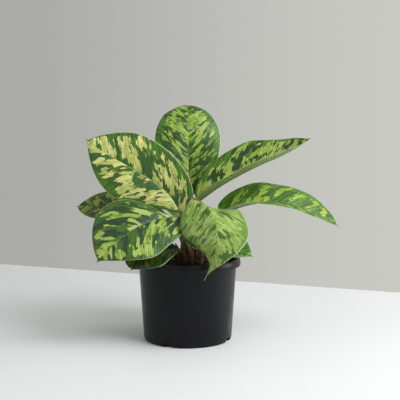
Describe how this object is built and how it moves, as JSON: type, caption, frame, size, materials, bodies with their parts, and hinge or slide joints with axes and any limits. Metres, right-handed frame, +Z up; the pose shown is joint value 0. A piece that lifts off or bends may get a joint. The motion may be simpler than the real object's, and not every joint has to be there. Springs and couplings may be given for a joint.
{
  "type": "potted homalomena",
  "caption": "House plant with broad arching mottled green and cream leaves on short stems, in a plain round black nursery pot.",
  "frame": {"origin": "centre of the pot's flat base, on the surface it stands on", "axes": "+Z up, -Y the front, +X to the right as seen from the front"},
  "size_m": [0.3562, 0.2367, 0.3088],
  "materials": {
    "pot": "satin black polypropylene with faint scuffs",
    "soil": "dark, dry potting mix of bark, peat and a few pale grains",
    "rhizome": "rough brown crown",
    "leaf": "semi-gloss blade mottled in dark green, yellow-green and cream",
    "stem": "smooth olive stem, reddish brown towards the foot",
    "sheath": "thin dry reddish brown sheath"
  },
  "bodies": {
    "root": {"pot": "pot", "soil": "soil", "rhizome": "rhizome", "stem_upper_left": "stem", "leaf_upper_left": "leaf", "stem_top": "stem", "leaf_top": "leaf", "stem_upper_right": "stem", "leaf_upper_right": "leaf", "stem_front_left": "stem", "leaf_front_left": "leaf", "stem_right": "stem", "leaf_right": "leaf", "stem_front_right": "stem", "leaf_front_right": "leaf", "stem_lower_right": "stem", "leaf_lower_right": "leaf", "stem_lower_left": "stem", "leaf_lower_left": "leaf", "stem_left_back": "stem", "leaf_left_back": "leaf", "stem_back_left": "stem", "leaf_back_left": "leaf", "stem_back_right": "stem", "leaf_back_right": "leaf", "stem_back_low": "stem", "leaf_back_low": "leaf", "sheath_front": "sheath", "sheath_left": "sheath", "sheath_back": "sheath", "new_leaf": "leaf"}
  },
  "joints": []
}
